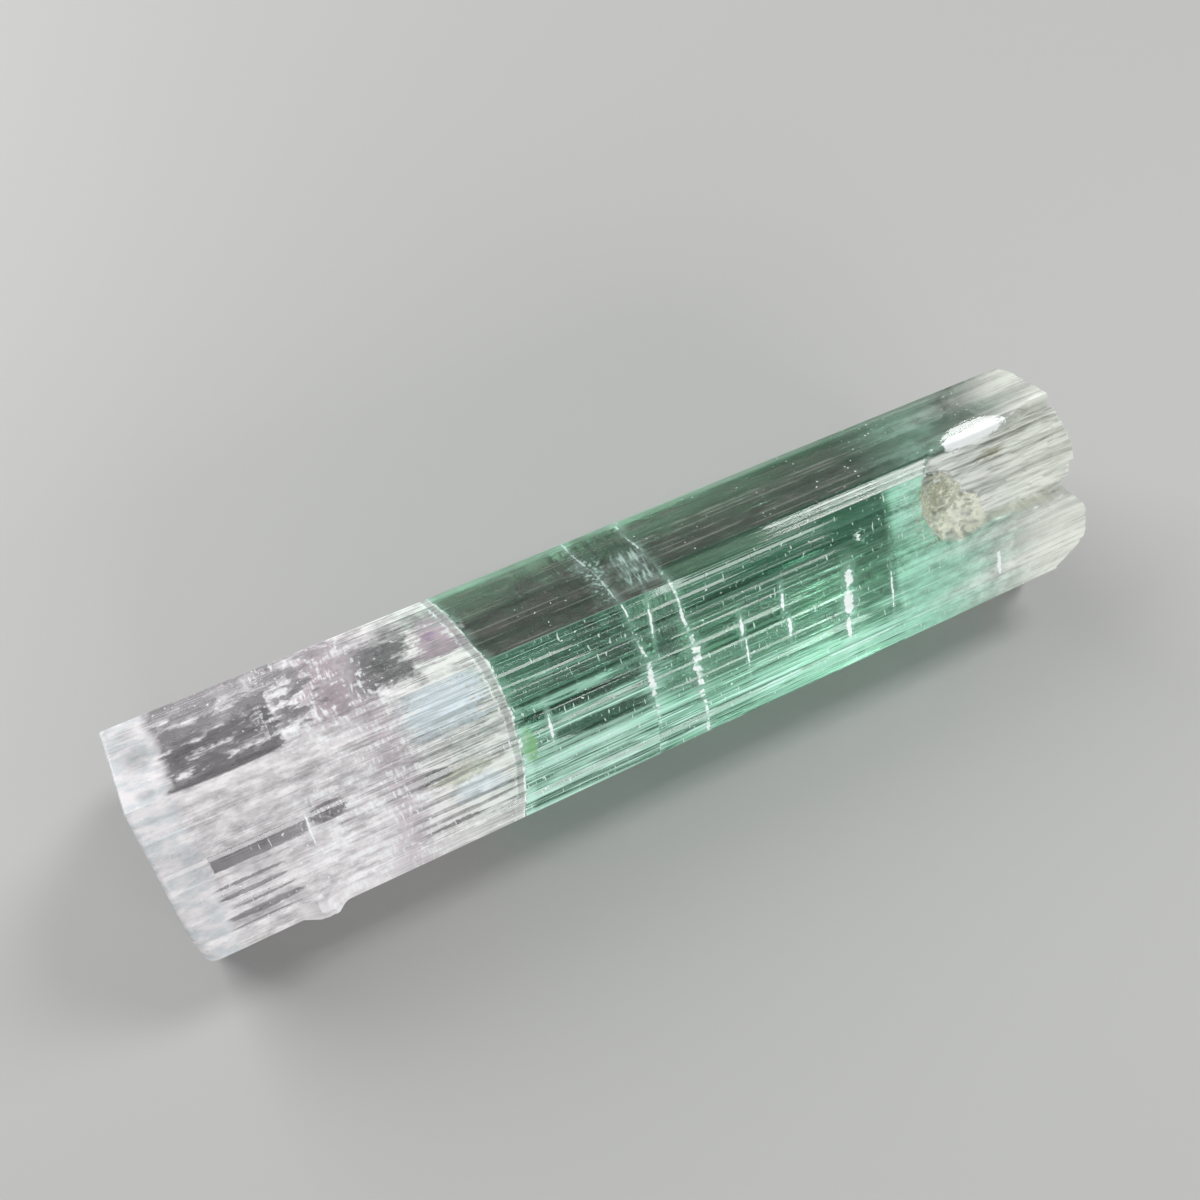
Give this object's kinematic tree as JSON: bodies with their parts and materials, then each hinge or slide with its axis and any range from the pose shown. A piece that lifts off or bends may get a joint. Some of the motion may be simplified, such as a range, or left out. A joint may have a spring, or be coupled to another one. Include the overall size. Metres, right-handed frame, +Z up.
{
  "type": "tourmaline crystal",
  "caption": "Long three-sided prism crystal with cut-off corners, lengthwise striations, a flat end and a broken, hollowed end.",
  "frame": {"origin": "on the surface that the crystal lies on, under the middle of its bounding box", "axes": "+X along the prism towards the broken end, +Z up, -Y towards the side with the scoop"},
  "size_m": [0.04, 0.0108, 0.009],
  "materials": {
    "tourmaline": "glassy, clear to milky white with a green zone, transmission 1 and IOR 1.63"
  },
  "bodies": {
    "root": {"tourmaline_crystal": "tourmaline"}
  },
  "joints": []
}
